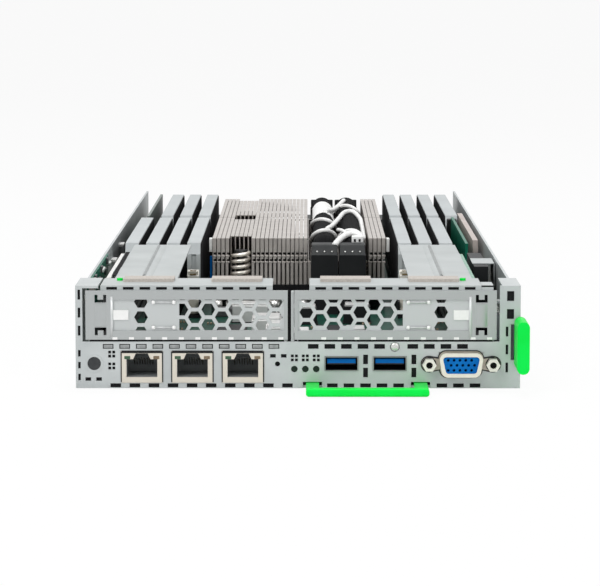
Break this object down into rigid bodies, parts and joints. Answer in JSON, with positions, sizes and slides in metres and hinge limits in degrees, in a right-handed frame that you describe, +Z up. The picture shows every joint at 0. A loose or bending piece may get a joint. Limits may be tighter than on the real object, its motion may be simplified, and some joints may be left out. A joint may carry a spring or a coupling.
{
  "type": "server node",
  "caption": "Open-top half-width rack server node: steel tray, vented port panel, green pull handle and latch, finned heat sinks in line between banks of memory sockets.",
  "frame": {"origin": "middle of the tray's underside", "axes": "+X right seen from the port end, +Y from the port panel to the rear dock, +Z up"},
  "size_m": [0.1767, 0.604, 0.0417],
  "materials": {
    "zinc_steel": "zinc-plated sheet, satin",
    "bright_steel": "nickel-plated",
    "green_grip": "moulded, vivid green",
    "gasket_foam": "conductive cloth over foam",
    "port_cream": "moulded",
    "port_blue": "moulded",
    "black_plastic": "moulded, black",
    "clear_pipe": "light pipe",
    "board_green": "solder mask over glass fibre",
    "processor_steel": "plated lid",
    "fin_metal": "folded fins",
    "spring_steel": "spring wire",
    "blank_grey": "moulded, light grey",
    "latch_white": "moulded, off-white",
    "cable_black": "braided sleeve",
    "tie_white": "moulded nylon",
    "baffle_film": "folded film"
  },
  "bodies": {
    "chassis": {"tray": "zinc_steel", "front_panel": "zinc_steel", "left_slot_cover": "zinc_steel", "right_slot_cover": "zinc_steel", "slot_tabs": "bright_steel", "left_riser_cage": "zinc_steel", "right_riser_cage": "zinc_steel", "cage_gaskets": "gasket_foam", "cage_touch_pins": "green_grip", "riser_cards": "board_green", "riser_connectors": "black_plastic", "mainboard": "board_green", "board_screws": "bright_steel", "lan_jacks": "port_cream", "lan_shields": "bright_steel", "usb_shells": "bright_steel", "usb_tongues": "port_blue", "video_shell": "bright_steel", "video_insert": "port_blue", "video_jackscrews": "bright_steel", "panel_switches": "black_plastic", "status_light_pipe": "clear_pipe", "processors": "processor_steel", "heat_sink_screws": "bright_steel", "heat_sink_springs": "spring_steel", "front_heat_sink": "fin_metal", "rear_heat_sink": "fin_metal", "memory_sockets": "black_plastic", "front_memory_blanks": "blank_grey", "rear_memory_blanks": "blank_grey", "memory_modules": "board_green", "cable_plugs": "black_plastic", "cable_ties": "tie_white", "cable_bundles": "cable_black", "pull_handle": "green_grip", "latch_pin": "bright_steel", "latch_spring": "spring_steel", "side_baffle": "baffle_film", "air_blocks": "black_plastic", "dock_connectors": "black_plastic"},
    "power_button": {"power_button": "bright_steel"},
    "reset_button": {"reset_button": "black_plastic"},
    "release_latch": {"latch_lever": "zinc_steel", "latch_cap": "green_grip"},
    "memory_latch_front_left_1": {"latch_front_left_1": "latch_white"},
    "memory_latch_front_left_2": {"latch_front_left_2": "latch_white"},
    "memory_latch_front_left_3": {"latch_front_left_3": "latch_white"},
    "memory_latch_front_left_4": {"latch_front_left_4": "latch_white"},
    "memory_latch_front_right_1": {"latch_front_right_1": "latch_white"},
    "memory_latch_front_right_2": {"latch_front_right_2": "latch_white"},
    "memory_latch_front_right_3": {"latch_front_right_3": "latch_white"},
    "memory_latch_front_right_4": {"latch_front_right_4": "latch_white"},
    "memory_latch_rear_left_1": {"latch_rear_left_1": "latch_white"},
    "memory_latch_rear_left_2": {"latch_rear_left_2": "latch_white"},
    "memory_latch_rear_left_3": {"latch_rear_left_3": "latch_white"},
    "memory_latch_rear_left_4": {"latch_rear_left_4": "latch_white"},
    "memory_latch_rear_right_1": {"latch_rear_right_1": "latch_white"},
    "memory_latch_rear_right_2": {"latch_rear_right_2": "latch_white"},
    "memory_latch_rear_right_3": {"latch_rear_right_3": "latch_white"},
    "memory_latch_rear_right_4": {"latch_rear_right_4": "latch_white"}
  },
  "joints": [
    {"name": "release_latch_swing", "type": "hinge", "parent": "chassis", "child": "release_latch", "pos_m": [0.08255, -0.22, 0.0182], "axis": [0, 0, -1], "range_deg": [0, 1.3], "stiffness_Nm_per_rad": 5, "springref_deg": -2.86},
    {"name": "power_button_press", "type": "slide", "parent": "chassis", "child": "power_button", "axis": [0, 1, 0], "range_m": [0, 0.0012], "stiffness_N_per_m": 800, "springref_m": -0.0008},
    {"name": "reset_button_press", "type": "slide", "parent": "chassis", "child": "reset_button", "axis": [0, 1, 0], "range_m": [0, 0.0005], "stiffness_N_per_m": 1200, "springref_m": -0.0004},
    {"name": "memory_latch_front_left_1_tip", "type": "hinge", "parent": "chassis", "child": "memory_latch_front_left_1", "pos_m": [-0.0482, -0.1066, 0.0078], "axis": [1, 0, 0], "range_deg": [0, 25]},
    {"name": "memory_latch_front_left_2_tip", "type": "hinge", "parent": "chassis", "child": "memory_latch_front_left_2", "pos_m": [-0.05763, -0.1066, 0.0078], "axis": [1, 0, 0], "range_deg": [0, 25]},
    {"name": "memory_latch_front_left_3_tip", "type": "hinge", "parent": "chassis", "child": "memory_latch_front_left_3", "pos_m": [-0.06706, -0.1066, 0.0078], "axis": [1, 0, 0], "range_deg": [0, 25]},
    {"name": "memory_latch_front_left_4_tip", "type": "hinge", "parent": "chassis", "child": "memory_latch_front_left_4", "pos_m": [-0.07649, -0.1066, 0.0078], "axis": [1, 0, 0], "range_deg": [0, 25]},
    {"name": "memory_latch_front_right_1_tip", "type": "hinge", "parent": "chassis", "child": "memory_latch_front_right_1", "pos_m": [0.0482, -0.1066, 0.0078], "axis": [1, 0, 0], "range_deg": [0, 25]},
    {"name": "memory_latch_front_right_2_tip", "type": "hinge", "parent": "chassis", "child": "memory_latch_front_right_2", "pos_m": [0.05763, -0.1066, 0.0078], "axis": [1, 0, 0], "range_deg": [0, 25]},
    {"name": "memory_latch_front_right_3_tip", "type": "hinge", "parent": "chassis", "child": "memory_latch_front_right_3", "pos_m": [0.06706, -0.1066, 0.0078], "axis": [1, 0, 0], "range_deg": [0, 25]},
    {"name": "memory_latch_front_right_4_tip", "type": "hinge", "parent": "chassis", "child": "memory_latch_front_right_4", "pos_m": [0.07649, -0.1066, 0.0078], "axis": [1, 0, 0], "range_deg": [0, 25]},
    {"name": "memory_latch_rear_left_1_tip", "type": "hinge", "parent": "chassis", "child": "memory_latch_rear_left_1", "pos_m": [-0.0482, 0.1711, 0.0078], "axis": [-1, 0, 0], "range_deg": [0, 25]},
    {"name": "memory_latch_rear_left_2_tip", "type": "hinge", "parent": "chassis", "child": "memory_latch_rear_left_2", "pos_m": [-0.05763, 0.1711, 0.0078], "axis": [-1, 0, 0], "range_deg": [0, 25]},
    {"name": "memory_latch_rear_left_3_tip", "type": "hinge", "parent": "chassis", "child": "memory_latch_rear_left_3", "pos_m": [-0.06706, 0.1711, 0.0078], "axis": [-1, 0, 0], "range_deg": [0, 25]},
    {"name": "memory_latch_rear_left_4_tip", "type": "hinge", "parent": "chassis", "child": "memory_latch_rear_left_4", "pos_m": [-0.07649, 0.1711, 0.0078], "axis": [-1, 0, 0], "range_deg": [0, 25]},
    {"name": "memory_latch_rear_right_1_tip", "type": "hinge", "parent": "chassis", "child": "memory_latch_rear_right_1", "pos_m": [0.0482, 0.1711, 0.0078], "axis": [-1, 0, 0], "range_deg": [0, 25]},
    {"name": "memory_latch_rear_right_2_tip", "type": "hinge", "parent": "chassis", "child": "memory_latch_rear_right_2", "pos_m": [0.05763, 0.1711, 0.0078], "axis": [-1, 0, 0], "range_deg": [0, 25]},
    {"name": "memory_latch_rear_right_3_tip", "type": "hinge", "parent": "chassis", "child": "memory_latch_rear_right_3", "pos_m": [0.06706, 0.1711, 0.0078], "axis": [-1, 0, 0], "range_deg": [0, 25]},
    {"name": "memory_latch_rear_right_4_tip", "type": "hinge", "parent": "chassis", "child": "memory_latch_rear_right_4", "pos_m": [0.07649, 0.1711, 0.0078], "axis": [-1, 0, 0], "range_deg": [0, 25]}
  ]
}
